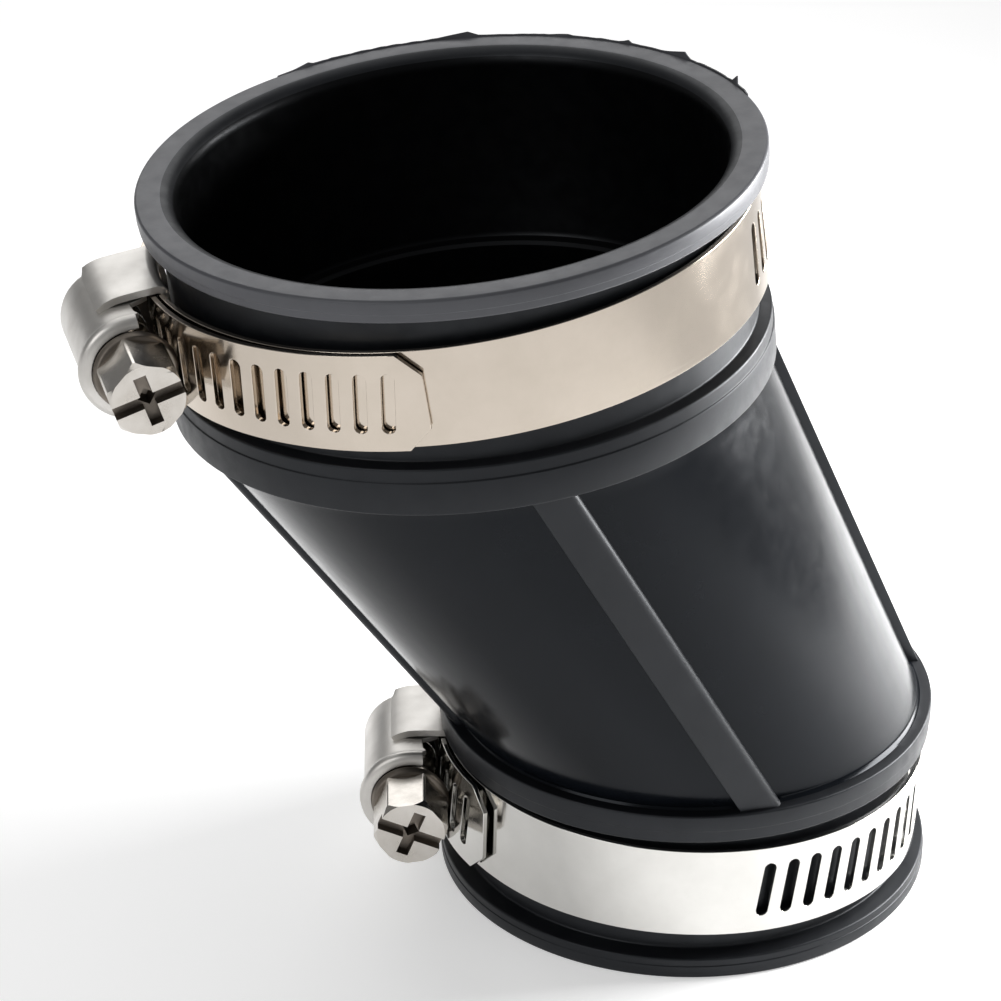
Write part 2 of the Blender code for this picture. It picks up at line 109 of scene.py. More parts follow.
def pickVerts(piece, test):
    cage = bmesh.from_edit_mesh(piece.data)
    for vert in cage.verts:
        vert.select_set(bool(test(vert.co)))
    cage.select_flush(True)
    cage.select_flush(False)
    bmesh.update_edit_mesh(piece.data)


def pickEdges(piece, test):
    bpy.ops.mesh.select_mode(type="EDGE")
    cage = bmesh.from_edit_mesh(piece.data)
    for edge in cage.edges:
        edge.select_set(False)
    for edge in cage.edges:
        if test(edge.verts[0].co, edge.verts[1].co):
            edge.select_set(True)
    bmesh.update_edit_mesh(piece.data)


def finishMesh(mergeGap=0.001 * mm):
    bpy.ops.mesh.select_mode(type="VERT")
    pickAll()
    bpy.ops.mesh.remove_doubles(threshold=mergeGap)
    bpy.ops.mesh.normals_make_consistent(inside=False)
    closeEdit()


def applyModifier(piece, kind, **settings):
    makeActive(piece)
    modifier = piece.modifiers.new(kind.lower(), kind)
    for key, value in settings.items():
        setattr(modifier, key, value)
    bpy.ops.object.modifier_apply(modifier=modifier.name)


def softenEdges(piece, width, segments, angle):
    applyModifier(piece, "BEVEL", width=width, segments=segments, limit_method="ANGLE",
                  angle_limit=math.radians(angle), harden_normals=True, use_clamp_overlap=True)


def smoothBelow(piece, angle):
    makeActive(piece)
    bpy.ops.object.shade_smooth_by_angle(angle=math.radians(angle))


def smoothAndSoften(piece, width, segments, angle):
    makeActive(piece)
    bpy.ops.object.shade_smooth()
    softenEdges(piece, width, segments, angle)


def flipFaces(piece):
    openEdit(piece)
    pickAll()
    bpy.ops.mesh.flip_normals()
    closeEdit()


def drawOutline(name, points):
    # one point, pulled on from place to place
    clearSelection()
    bpy.ops.mesh.primitive_plane_add(size=1 * mm, location=points[0])
    piece = startEdit(name)
    pickAll()
    bpy.ops.mesh.merge(type="CENTER")
    for before, after in zip(points, points[1:]):
        pullOut([end - start for start, end in zip(before, after)])
    return piece


def cylinderAlongY(name, points, radius, start, end):
    clearSelection()
    bpy.ops.mesh.primitive_cylinder_add(vertices=points, radius=radius, depth=end - start,
                                        location=(0, (start + end) / 2, 0), rotation=(math.pi / 2, 0, 0))
    return startEdit(name)


def coneAlongY(points, radiusAtBack, radiusAtHead, depth, middle):
    clearSelection()
    bpy.ops.mesh.primitive_cone_add(vertices=points, radius1=radiusAtBack, radius2=radiusAtHead,
                                    depth=depth, location=(0, middle, 0), rotation=(-math.pi / 2, 0, 0))
    applyPlace()
    return bpy.context.object


def cutWith(target, tool, operation):
    applyModifier(target, "BOOLEAN", operation=operation, solver="EXACT", object=tool)
    bpy.data.objects.remove(tool, do_unlink=True)


def placeIn(piece, matrix):
    makeActive(piece)
    piece.matrix_world = matrix
    applyPlace()


def joinAll(pieces, name):
    makeActive(pieces[0])
    for piece in pieces[1:]:
        piece.select_set(True)
    bpy.ops.object.join()
    pieces[0].name = name
    return pieces[0]


def addSkins(piece, *labels):
    for label in labels:
        piece.data.materials.append(finishes[label])


def settle(piece, body, slot, materials, *nodes):
    # every finished piece goes through here: finish, body and the solid it stands for
    while len(piece.data.materials) > len(materials):
        piece.data.materials.pop(index=-1)
    for index, material in enumerate(materials):
        if index < len(piece.data.materials):
            piece.data.materials[index] = material
        else:
            piece.data.materials.append(material)
    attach(piece, body)
    if nodes:
        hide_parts(*nodes)


def newGroup(name, inputs):
    # every group takes a roughness range and gives roughness, height and tint
    tree = bpy.data.node_groups.new(name, "ShaderNodeTree")
    for label in ["Roughness Low", "Roughness High"] + inputs:
        tree.interface.new_socket(name=label, in_out="INPUT", socket_type="NodeSocketFloat")
    for label in ("Roughness", "Height", "Tint"):
        tree.interface.new_socket(name=label, in_out="OUTPUT", socket_type="NodeSocketFloat")
    return tree, tree.nodes.new("NodeGroupInput"), tree.nodes.new("NodeGroupOutput")


def addNode(tree, kind, **settings):
    node = tree.nodes.new(kind)
    for key, value in settings.items():
        if key in node.inputs:
            node.inputs[key].default_value = value
        else:
            setattr(node, key, value)
    return node


patternLook = {
    # noises: (scale, detail, roughness)
    "flow": (130.0, 4.0, 0.6),
    "rubbedPatch": (420.0, 5.0, 0.62),
    "mouldGrain": (5200.0, 2.0, 0.6),
    "streak": (1.0, 4.0, 0.7),
    "bandStain": (1.6, 4.0, 0.6),
    "scuff": (34.0, 3.0, 0.7),
    "tumbledGrain": (9000.0, 2.0, 0.7),
    "steelStain": (260.0, 4.0, 0.6),
    "scratch": (2600.0, 1.0, 0.4),
    # the rest
    "poreScale": 520.0,
    "poreReach": 0.09,
    "streakStretch": (1.2, 90.0, 1.0),
    "hairlineAt": -0.51,         # across the band, in centimetres from its middle
    "hairlineHalf": 0.012,
    "scratchStretch": (0.25, 1.0, 0.25),
    "scratchTurn": (0.5, 0.2, 0.9),
}


def addNoise(tree, coords, pattern):
    scale, detail, roughness = patternLook[pattern]
    texture = addNode(tree, "ShaderNodeTexNoise", Scale=scale, Detail=detail, Roughness=roughness)
    tree.links.new(coords, texture.inputs["Vector"])
    return texture.outputs["Fac"]


def feed(tree, socket, value):
    # a plain value is set, anything else is linked
    if isinstance(value, (int, float)):
        socket.default_value = value
    else:
        tree.links.new(value, socket)


def mathNode(tree, operation, *values):
    node = addNode(tree, "ShaderNodeMath", operation=operation)
    for index, value in enumerate(values):
        feed(tree, node.inputs[index], value)
    return node.outputs[0]


def spread(tree, value, low, high, toLow, toHigh):
    node = addNode(tree, "ShaderNodeMapRange")
    ends = (("From Min", low), ("From Max", high), ("To Min", toLow), ("To Max", toHigh))
    for label, end in ends + (("Value", value),):
        feed(tree, node.inputs[label], end)
    return node.outputs["Result"]


def betweenRoughness(tree, pattern, low, high, given):
    # spreads a pattern between the group's two roughness inputs
    return spread(tree, pattern, low, high, given.outputs["Roughness Low"], given.outputs["Roughness High"])


def addScaled(tree, base, value, factor):
    return mathNode(tree, "ADD", base, mathNode(tree, "MULTIPLY", value, factor))


def subtractScaled(tree, base, value, factor):
    return mathNode(tree, "SUBTRACT", base, mathNode(tree, "MULTIPLY", value, factor))


def centred(tree, pattern, strength):
    return mathNode(tree, "MULTIPLY", mathNode(tree, "SUBTRACT", pattern, 0.5), strength)


def mouldedGroup():
    # moulded elastomer: slow flow waves, fine grain, a few pores, rubbed patches
    tree, given, result = newGroup("mouldedSkin", ["Grain", "Flow"])
    coords = addNode(tree, "ShaderNodeTexCoord").outputs["Object"]
    flow = addNoise(tree, coords, "flow")
    patch = addNoise(tree, coords, "rubbedPatch")
    grain = addNoise(tree, coords, "mouldGrain")
    pores = addNode(tree, "ShaderNodeTexVoronoi", Scale=patternLook["poreScale"])
    tree.links.new(coords, pores.inputs["Vector"])
    pit = spread(tree, pores.outputs["Distance"], 0.0, patternLook["poreReach"], 1.0, 0.0)
    rubbed = betweenRoughness(tree, patch, 0.35, 0.7, given)
    fine = centred(tree, grain, given.outputs["Grain"])
    tree.links.new(addScaled(tree, rubbed, fine, 0.08), result.inputs["Roughness"])
    wave = mathNode(tree, "MULTIPLY", flow, given.outputs["Flow"])
    height = subtractScaled(tree, addScaled(tree, wave, fine, 0.12), pit, 0.1)
    tree.links.new(height, result.inputs["Height"])
    tree.links.new(spread(tree, flow, 0.3, 0.7, 0.0, 1.0), result.inputs["Tint"])
    return tree


def drawnGroup():
    # rolled strip: streaks along its length from the piece's own map, soft stains, faint scuffs
    tree, given, result = newGroup("drawnStrip", ["Streaks"])
    coords = addNode(tree, "ShaderNodeUVMap", uv_map="along").outputs["UV"]
    stretch = addNode(tree, "ShaderNodeMapping")
    stretch.inputs["Scale"].default_value = patternLook["streakStretch"]
    tree.links.new(coords, stretch.inputs["Vector"])
    streak = addNoise(tree, stretch.outputs["Vector"], "streak")
    stain = addNoise(tree, coords, "bandStain")
    scuff = addNoise(tree, coords, "scuff")
    worn = betweenRoughness(tree, stain, 0.35, 0.7, given)
    lined = centred(tree, streak, given.outputs["Streaks"])
    tree.links.new(addScaled(tree, worn, lined, 0.12), result.inputs["Roughness"])
    across = addNode(tree, "ShaderNodeSeparateXYZ")
    tree.links.new(coords, across.inputs["Vector"])
    offset = mathNode(tree, "SUBTRACT", across.outputs["Y"], patternLook["hairlineAt"])
    fromLine = mathNode(tree, "ABSOLUTE", offset)
    hairline = spread(tree, fromLine, 0.0, patternLook["hairlineHalf"], 1.0, 0.0)
    surface = addScaled(tree, lined, scuff, 0.05)
    tree.links.new(mathNode(tree, "SUBTRACT", surface, hairline), result.inputs["Height"])
    tree.links.new(spread(tree, stain, 0.3, 0.75, 0.0, 1.0), result.inputs["Tint"])
    return tree


def pressedGroup():
    # pressed and tumbled steel: tight grain, soft stains, light scratches
    tree, given, result = newGroup("pressedSteel", ["Grain"])
    coords = addNode(tree, "ShaderNodeTexCoord").outputs["Object"]
    grain = addNoise(tree, coords, "tumbledGrain")
    stain = addNoise(tree, coords, "steelStain")
    scratch = addNode(tree, "ShaderNodeMapping")
    scratch.inputs["Scale"].default_value = patternLook["scratchStretch"]
    scratch.inputs["Rotation"].default_value = patternLook["scratchTurn"]
    tree.links.new(coords, scratch.inputs["Vector"])
    lines = spread(tree, addNoise(tree, scratch.outputs["Vector"], "scratch"), 0.66, 0.74, 0.0, 1.0)
    worn = betweenRoughness(tree, stain, 0.35, 0.68, given)
    fine = centred(tree, grain, given.outputs["Grain"])
    tree.links.new(addScaled(tree, worn, fine, 0.1), result.inputs["Roughness"])
    tree.links.new(subtractScaled(tree, fine, lines, 0.3), result.inputs["Height"])
    tree.links.new(spread(tree, stain, 0.3, 0.72, 0.0, 1.0), result.inputs["Tint"])
    return tree


groups = {"moulded": mouldedGroup(), "drawn": drawnGroup(), "pressed": pressedGroup()}


def setInputs(node, values):
    for label, value in values.items():
        node.inputs[label].default_value = value


def newMaterial(name):
    material = bpy.data.materials.new(name)
    material.use_nodes = True
    return material, material.node_tree.nodes["Principled BSDF"]


def makeFinish(name, groupName, values, colors, relief, fixed):
    # colors: the two ends of the tint; relief: (strength, distance); fixed: plain values on the shader
    material, shader = newMaterial(name)
    tree = material.node_tree
    effect = tree.nodes.new("ShaderNodeGroup")
    effect.node_tree = groups[groupName]
    setInputs(effect, values)
    blend = addNode(tree, "ShaderNodeMix", data_type="RGBA")
    factor, firstColor, secondColor = blend.inputs[0], blend.inputs[6], blend.inputs[7]
    firstColor.default_value = (*colors[0], 1)
    secondColor.default_value = (*colors[1], 1)
    tree.links.new(effect.outputs["Tint"], factor)
    tree.links.new(blend.outputs[2], shader.inputs["Base Color"])
    tree.links.new(effect.outputs["Roughness"], shader.inputs["Roughness"])
    bump = addNode(tree, "ShaderNodeBump", Strength=relief[0], Distance=relief[1])
    tree.links.new(effect.outputs["Height"], bump.inputs["Height"])
    tree.links.new(bump.outputs["Normal"], shader.inputs["Normal"])
    setInputs(shader, fixed)
    return material


# roughness low and high, grain, the tint's two ends, relief, specular level and tint
rubberLook = {
    "satinRubber": (0.36, 0.48, 1.0, (0.0050, 0.0056, 0.0070), (0.0078, 0.0085, 0.0104),
                    0.25, 0.32, (0.90, 0.94, 1.0, 1.0)),
    # a paler copy of the same rubber for the upper rim: painted light standing in for the lamps' light on
    # it
    "paintedLightRimRubber": (0.36, 0.46, 1.0, (0.062, 0.063, 0.070), (0.076, 0.077, 0.086),
                  0.25, 0.5, (0.94, 0.96, 1.0, 1.0)),
    # a near-black copy of the same rubber for the bores and the barrel's inside: painted shade
    "paintedShadeRubber": (0.32, 0.44, 0.6, (0.0010, 0.0011, 0.0013), (0.0017, 0.0018, 0.0021),
                    0.2, 0.16, (0.90, 0.94, 1.0, 1.0)),
    "glossyRubber": (0.15, 0.22, 0.35, (0.0026, 0.0034, 0.0048), (0.0040, 0.0050, 0.0070),
                     0.16, 0.14, (0.88, 0.93, 1.0, 1.0)),
}
# pattern, roughness low and high, grain or streaks, the tint's two ends, relief and its depth
steelLook = {
    "upperBandSteel": ("drawn", 0.09, 0.17, 0.9, (0.62, 0.55, 0.475), (0.57, 0.505, 0.43), 0.10, 0.02 * mm),
    "lowerBandSteel": ("drawn", 0.06, 0.12, 0.8, (0.66, 0.65, 0.625), (0.60, 0.59, 0.565), 0.10, 0.02 * mm),
    "housingSteel": ("pressed", 0.37, 0.46, 1.0, (0.68, 0.66, 0.63), (0.61, 0.59, 0.56), 0.18, 0.02 * mm),
    # a darker, rougher copy of the steel for hollows: painted shade
    "paintedShadeSteel": ("pressed", 0.38, 0.52, 1.0, (0.24, 0.21, 0.18), (0.16, 0.14, 0.12), 0.3, 0.03 * mm),
    "screwSteel": ("pressed", 0.16, 0.28, 0.7, (0.66, 0.63, 0.59), (0.55, 0.515, 0.47), 0.15, 0.02 * mm),
}
finishes = {}
for name, (low, high, grain, first, second, relief, level, tint) in rubberLook.items():
    values = {"Roughness Low": low, "Roughness High": high, "Grain": grain, "Flow": 1.0}
    fixed = {"Specular IOR Level": level, "Specular Tint": tint}
    finishes[name] = makeFinish(name, "moulded", values, (first, second), (relief, 0.10 * mm), fixed)
for name, (pattern, low, high, grain, first, second, relief, depth) in steelLook.items():
    grainName = "Streaks" if pattern == "drawn" else "Grain"
    values = {"Roughness Low": low, "Roughness High": high, grainName: grain}
    fixed = {"Metallic": 1.0}
    finishes[name] = makeFinish(name, pattern, values, (first, second), (relief, depth), fixed)
print("finishes made:", len(finishes))

bodyLook = {
    "ringPoints": 192,
    "rimRadius": (36.5 * mm, 31.0 * mm),          # upper, lower
    "flangeRadius": (35.8 * mm, 31.0 * mm),
    "boreRadius": (31.8 * mm, 26.3 * mm),
    "flangeNear": (21.0 * mm, 19.5 * mm),         # depths from the cuff's end face
    "flangeFar": (26.7 * mm, 23.3 * mm),
    "stopDepth": (24.9 * mm, 21.7 * mm),
    "stopStep": (2.0 * mm, 1.3 * mm),
    "rimHeight": 2.7 * mm,
    "grooveDepth": 2.4 * mm,
    "draft": 0.25 * mm,
    "barrelStep": 1.8 * mm,
    "barrelWall": 4.2 * mm,
    "barrelJoin": 0.35 * mm,     # how far each flange reaches down past the barrel's skin
    "mouthRound": 2.1 * mm,
    "mouthSteps": 8,
    "innerStations": 12,
    "edge": 0.25 * mm,
    "endFace": 1.2 * mm,         # flat part of the rim's end, from its edge inwards
    "cornerRound": 0.28 * mm,
    "rimStepAt": 0.62,           # share of the rim's height where its fine step lies
    "rimStepRun": 0.06 * mm,
    "rimStep": 0.10 * mm,
    "flangeStepRun": 0.08 * mm,
    "flangeStep": 0.16 * mm,
    "flangeStepDepth": 1.6 * mm,
    "barrelStations": 28,
}


def roundedCorners(points, radius, steps=3):
    # cuts each corner of an open outline back and puts a short arc there
    outline = [points[0]]
    for before, corner, after in zip(points, points[1:], points[2:]):
        corner = Vector(corner)
        back = Vector(before) - corner
        ahead = Vector(after) - corner
        turn = math.pi - back.angle(ahead)
        reach = min(radius * math.tan(turn / 2), 0.45 * back.length, 0.45 * ahead.length)
        if turn < math.radians(20):
            outline.append(tuple(corner))
            continue
        start = corner + back.normalized() * reach
        end = corner + ahead.normalized() * reach
        for step in range(steps + 1):
            share = step / steps
            outline.append(tuple(start.lerp(corner, share).lerp(corner.lerp(end, share), share)))
    return outline + [points[-1]]


def cuffOutside(end):
    look = bodyLook
    rim = look["rimRadius"][end]
    groove = rim - look["grooveDepth"]
    flange = look["flangeRadius"][end]
    near = look["flangeNear"][end]
    far = look["flangeFar"][end]
    step = near + look["flangeStepDepth"]
    rimStep = look["rimStepAt"] * look["rimHeight"]
    return [
        (0.0, rim - look["endFace"]),
        (0.0, rim - look["edge"]),
        (look["edge"], rim),
        (rimStep, rim),
        (rimStep + look["rimStepRun"], rim - look["rimStep"]),
        (look["rimHeight"], rim - look["rimStep"]),
        (look["rimHeight"] + look["draft"], groove),
        (near - look["draft"], groove),
        (near, flange - look["flangeStep"]),
        (step, flange - look["flangeStep"]),
        (step + look["flangeStepRun"], flange),
        (far, flange),
        (far, flange - look["barrelStep"] + look["barrelJoin"]),
    ]


def cuffInside(end):
    look = bodyLook
    bore = look["boreRadius"][end]
    stop = look["stopDepth"][end]
    mouth = look["mouthRound"]
    lip = []
    for step in range(look["mouthSteps"] + 1):
        angle = math.radians(90 * step / look["mouthSteps"])
        lip.append((mouth * (1 - math.cos(angle)), bore + mouth * (1 - math.sin(angle))))
    inside = [  # the stop ring's rounded shoulder
        (stop - 0.5 * mm, bore),
        (stop, bore - 0.3 * mm),
        (stop + 0.1 * mm, bore - look["stopStep"][end] + 0.4 * mm),
        (stop + 0.5 * mm, bore - look["stopStep"][end]),
    ]
    return lip + inside


def barrelRing(share, inset=0.0):
    # the slanting barrel: (centre, lean, radius) from the lower flange to the upper one
    look = bodyLook
    start = lowerEnd + Vector((0, 0, look["flangeFar"][1]))
    finish = upperEnd - upperAxis * look["flangeFar"][0]
    low = look["flangeRadius"][1] - look["barrelStep"]
    high = look["flangeRadius"][0] - look["barrelStep"]
    return start.lerp(finish, share), upperLean * share, low + (high - low) * share - inset


def lowerRing(depth, radius):
    return lowerEnd + Vector((0, 0, depth)), 0.0, radius


def upperRing(depth, radius):
    return upperEnd - upperAxis * depth, upperLean, radius


def growRings(name, rings):
    # one circle, extruded edge on edge to each next ring
    center, lean, radius = rings[0]
    clearSelection()
    bpy.ops.mesh.primitive_circle_add(vertices=bodyLook["ringPoints"], radius=radius, location=center)
    piece = startEdit(name)
    pickAll()
    for nextCenter, nextLean, nextRadius in rings[1:]:
        pullOut(nextCenter - center)
        size = nextRadius / radius
        scaleAbout(nextCenter, (size, size, size))
        if abs(nextLean - lean) > 1e-7:
            bpy.ops.transform.rotate(value=lean - nextLean, orient_axis="Y", center_override=nextCenter)
        center, lean, radius = nextCenter, nextLean, nextRadius
    return piece


def makeBody():
    look = bodyLook
    lowerOutside = roundedCorners(cuffOutside(1), look["cornerRound"])
    upperOutside = roundedCorners(cuffOutside(0), look["cornerRound"])
    rings = [lowerRing(depth, radius) for depth, radius in lowerOutside]
    count = look["barrelStations"]
    rings.append(barrelRing(0.006, -0.05 * mm))  # a slight fillet at each end of the barrel
    rings += [barrelRing((index + 0.35) / (count - 0.3)) for index in range(count)]
    rings.append(barrelRing(0.994, -0.05 * mm))
    rings += [upperRing(depth, radius) for depth, radius in reversed(upperOutside)]
    rings += [upperRing(depth, radius) for depth, radius in cuffInside(0)]
    inner = look["innerStations"]
    rings += [barrelRing(1 - index / inner, look["barrelWall"]) for index in range(inner + 1)]
    rings += [lowerRing(depth, radius) for depth, radius in reversed(cuffInside(1))]
    rings.append(rings[0])
    piece = growRings("couplingBody", rings)
    finishMesh(0.004 * mm)
    smoothBelow(piece, 38)
    return piece


def skinAt(middle):
    # the body's finish at a place: 0 satin, 1 glossy barrel, 2 paler upper rim as painted light, 3 dark
    # inside as painted shade
    look = bodyLook
    low, high = look["flangeFar"][1], look["flangeFar"][0]
    depth = (upperEnd - middle).dot(upperAxis)
    fromAxis = (middle - upperEnd + upperAxis * depth).length
    lipClear, skirt = 0.3 * mm, 0.12 * mm
    if depth < high:
        pastMouth = fromAxis > look["boreRadius"][0] + look["mouthRound"] - lipClear
        # the upper rim's end and outer face take the paler rubber: painted light
        if depth < look["rimHeight"] + look["draft"] and pastMouth:
            return 2
        # the upper bore takes the dark rubber: painted shade
        return 3 if fromAxis < look["boreRadius"][0] + lipClear else 0
    if middle.z < low:
        fromLower = math.hypot(middle.x - lowerEnd.x, middle.y)
        # the lower bore takes the dark rubber: painted shade
        return 3 if fromLower < look["boreRadius"][1] + lipClear else 0
    share = min(max((middle.z - low) / (upperEnd.z - low - high), 0), 1)
    ringCenter, lean, radius = barrelRing(share)
    # the barrel's inside takes the dark rubber: painted shade
    if math.hypot(middle.x - ringCenter.x, middle.y) < radius - 1.6 * mm:
        return 3
    return 1 if middle.z - low > skirt and depth - high > skirt else 0


def paintBody(piece):
    for face in piece.data.polygons:
        face.material_index = skinAt(face.center)


body = makeBody()
bodyFinishes = [finishes[label] for label in ("satinRubber", "glossyRubber", "paintedLightRimRubber", "paintedShadeRubber")]
settle(body, "coupling", "elastomer", bodyFinishes, "coupling_body")
paintBody(body)
print("body made:", len(body.data.polygons), "faces")

ribLook = {
    "width": 5.2 * mm,
    "height": 1.3 * mm,
    "sink": 1.4 * mm,
    "softSide": 1.25 * mm,       # the worn, rounded edge
    "crispSide": 0.14 * mm,
    "slices": 26,
    "overlap": 0.004,            # share of its length that each end runs on under the flange
    "azimuths": {"ribFront": 270, "ribRight": 0, "ribBack": 90, "ribLeft": 180},
}


def makeRib(name, azimuth):
    look = ribLook
    half = look["width"] / 2
    clearSelection()
    bpy.ops.mesh.primitive_cube_add(size=1.0, location=(0, 0, 0.5))
    piece = startEdit(name)
    pickAll()
    size = (look["width"], look["height"] + look["sink"], 1)
    scaleAbout((0, 0, 0), size)
    bpy.ops.transform.translate(value=(0, (look["height"] - look["sink"]) / 2, 0))
    top = look["height"] - hair

    def longEdge(side):
        return lambda a, b: min(a.y, b.y) > top and min(a.x * side, b.x * side) > half * 0.98

    pickEdges(piece, longEdge(1))
    bpy.ops.mesh.bevel(offset=look["softSide"], segments=5, affect="EDGES", profile=0.5)
    pickEdges(piece, longEdge(-1))
    bpy.ops.mesh.bevel(offset=look["crispSide"], segments=2, affect="EDGES")
    pickEdges(piece, lambda a, b: abs(a.z - b.z) > 0.5)
    bpy.ops.mesh.subdivide(number_cuts=look["slices"])
    finishMesh()
    for vert in piece.data.vertices:  # lay the straight bar along the barrel
        share = vert.co.z * (1 + 2 * look["overlap"]) - look["overlap"]
        ringCenter, lean, radius = barrelRing(share)
        reach = radius + vert.co.y
        angle = math.radians(azimuth) + vert.co.x / radius
        turn = Matrix.Rotation(lean, 3, "Y")
        vert.co = ringCenter + turn @ Vector((reach * math.cos(angle), reach * math.sin(angle), 0))
    smoothBelow(piece, 35)
    settle(piece, "coupling", "elastomer", [finishes["satinRubber"]])


for ribName, ribAzimuth in ribLook["azimuths"].items():
    makeRib(ribName, ribAzimuth)
print("ribs made:", len(ribLook["azimuths"]))

flashLook = {
    "from": 1.0,                 # degrees round the upper rim
    "to": 112.0,
    "thickness": 0.18 * mm,
    "low": 0.16 * mm,
    # (degrees, height, spread in degrees) of each ragged peak
    "peaks": [(104.0, 0.50 * mm, 5.0), (72.0, 0.62 * mm, 9.0), (52.0, 0.30 * mm, 9.0),
              (39.0, 0.42 * mm, 2.5), (25.0, 0.70 * mm, 6.0), (7.5, 1.25 * mm, 1.6)],
    "points": 360,
    "inset": 0.12 * mm,
    "rooted": 0.35 * mm,         # how deep it goes into the rim
    "rough": 0.10 * mm,
}


def makeFlash():
    # the ragged fin of moulding flash round the back of the upper rim
    look = flashLook
    rim = bodyLook["rimRadius"][0]
    clearSelection()
    bpy.ops.mesh.primitive_circle_add(vertices=look["points"], radius=rim - look["inset"])
    piece = startEdit("rimFlash")
    low, high = math.radians(look["from"]), math.radians(look["to"])
    pickVerts(piece, lambda co: not low <= math.atan2(co.y, co.x) <= high)
    bpy.ops.mesh.delete(type="VERT")
    pickAll()
    pullOut((0, 0, 1 * mm))
    closeEdit()
    for vert in piece.data.vertices:
        angle = math.degrees(math.atan2(vert.co.y, vert.co.x))
        fade = min(1, (angle - look["from"]) / 3, (look["to"] - angle) / 10)
        if vert.co.z > 0.1 * mm:
            rise = look["low"] + look["rough"] * noise.noise(Vector((angle * 0.5, 3.1, 0)))
            for middle, height, width in look["peaks"]:
                away = (angle - middle) / width
                rise = max(rise, height * (1 - abs(away) if away > 0 else max(0, 1 + 3 * away)))
            vert.co.z = max(2 * hair, fade * rise)
            wave = look["rough"] * noise.noise(Vector((angle * 0.4, 9, 4)))
            outward = 1 + (0.55 * vert.co.z + wave) / rim
            vert.co.x *= outward
            vert.co.y *= outward
        else:
            vert.co.z = -look["rooted"]
    applyModifier(piece, "SOLIDIFY", thickness=look["thickness"], offset=0.0)
    smoothBelow(piece, 50)
    placeIn(piece, Matrix.Translation(upperEnd) @ Matrix.Rotation(upperLean, 4, "Y"))
    # the flash takes the rim's paler rubber: painted light
    settle(piece, "coupling", "elastomer", [finishes["paintedLightRimRubber"]])


makeFlash()
print("flash made")

bandLook = {
    "width": 11.8 * mm,
    "thickness": 0.6 * mm,
    "pitch": 3.12 * mm,
    "slotWidth": 1.5 * mm,
    "slotLength": 7.3 * mm,
    "slant": math.radians(7.5),
    "rows": 12,                  # faces across the strip
    "columns": 4,                # faces along one slotted cell
    "edge": 0.09 * mm,
    "corner": 2.6 * mm,
    "plainStep": 1.1 * mm,
    "mapUnit": 10 * mm,          # one unit of the band's own map
    "loopStart": -4.8 * mm,      # from the screw's middle, round the cuff
    "loopEnd": -6.5 * mm,
    "tailStart": -0.8 * mm,
}

seamAngle = -0.16  # where a loop's angles start, inside the housing

clampLook = {
    "upper": {"plainAngle": math.radians(143.8), "tailSlots": 13, "screwTurn": math.radians(9.0)},
    "lower": {"plainAngle": math.radians(102.4), "tailSlots": 5, "screwTurn": math.radians(-21.0)},
}


def clampFrame(prefix):
    # +X out through the screw, +Y along the screw to its head, +Z along the cuff
    turn = jointNamed[prefix + "_clamp_turn"]
    screw = jointNamed[prefix + "_screw_turn"]
    up = Vector(turn["axis"]).normalized()
    along = -Vector(screw["axis"])
    along = (along - up * along.dot(up)).normalized()
    out = along.cross(up)
    matrix = Matrix((out, along, up)).transposed().to_4x4()
    matrix.translation = Vector(turn["pos_m"])
    height = (Vector(screw["pos_m"]) - Vector(turn["pos_m"])).dot(out)
    return matrix, height


def bandCourse(nodeName, matrix, seam):
    # inner radius of a packed band by angle, read along its top edge and smoothed
    inverse = matrix.inverted()
    found = {}
    for vert in frame["nodes"][nodeName].data.vertices:
        place = inverse @ vert.co
        if place.z < bandLook["width"] / 2 - 0.1 * mm:
            continue
        angle = math.atan2(place.y, place.x)
        if angle < seam:
            angle += 2 * math.pi
        key = round(angle, 3)
        found[key] = min(found.get(key, 1.0), math.hypot(place.x, place.y))
    angles = numpy.array(sorted(found))
    radii = numpy.array([found[angle] for angle in sorted(found)])

    def course(angle):
        spots = [angle + offset * math.radians(1.3) for offset in (-2, -1, 0, 1, 2)]
        return float(numpy.mean(numpy.interp(spots, angles, radii)))

    return course, float(radii.min())


def flatGrid(name, length, columns):
    # a plain length of strip lying flat, its start at x = 0
    clearSelection()
    bpy.ops.mesh.primitive_grid_add(x_subdivisions=columns, y_subdivisions=bandLook["rows"], size=1.0,
                                    location=(0.5, 0, 0))
    piece = startEdit(name)
    pickAll()
    scaleAbout((0, 0, 0), (length, bandLook["width"], 1))
    return piece


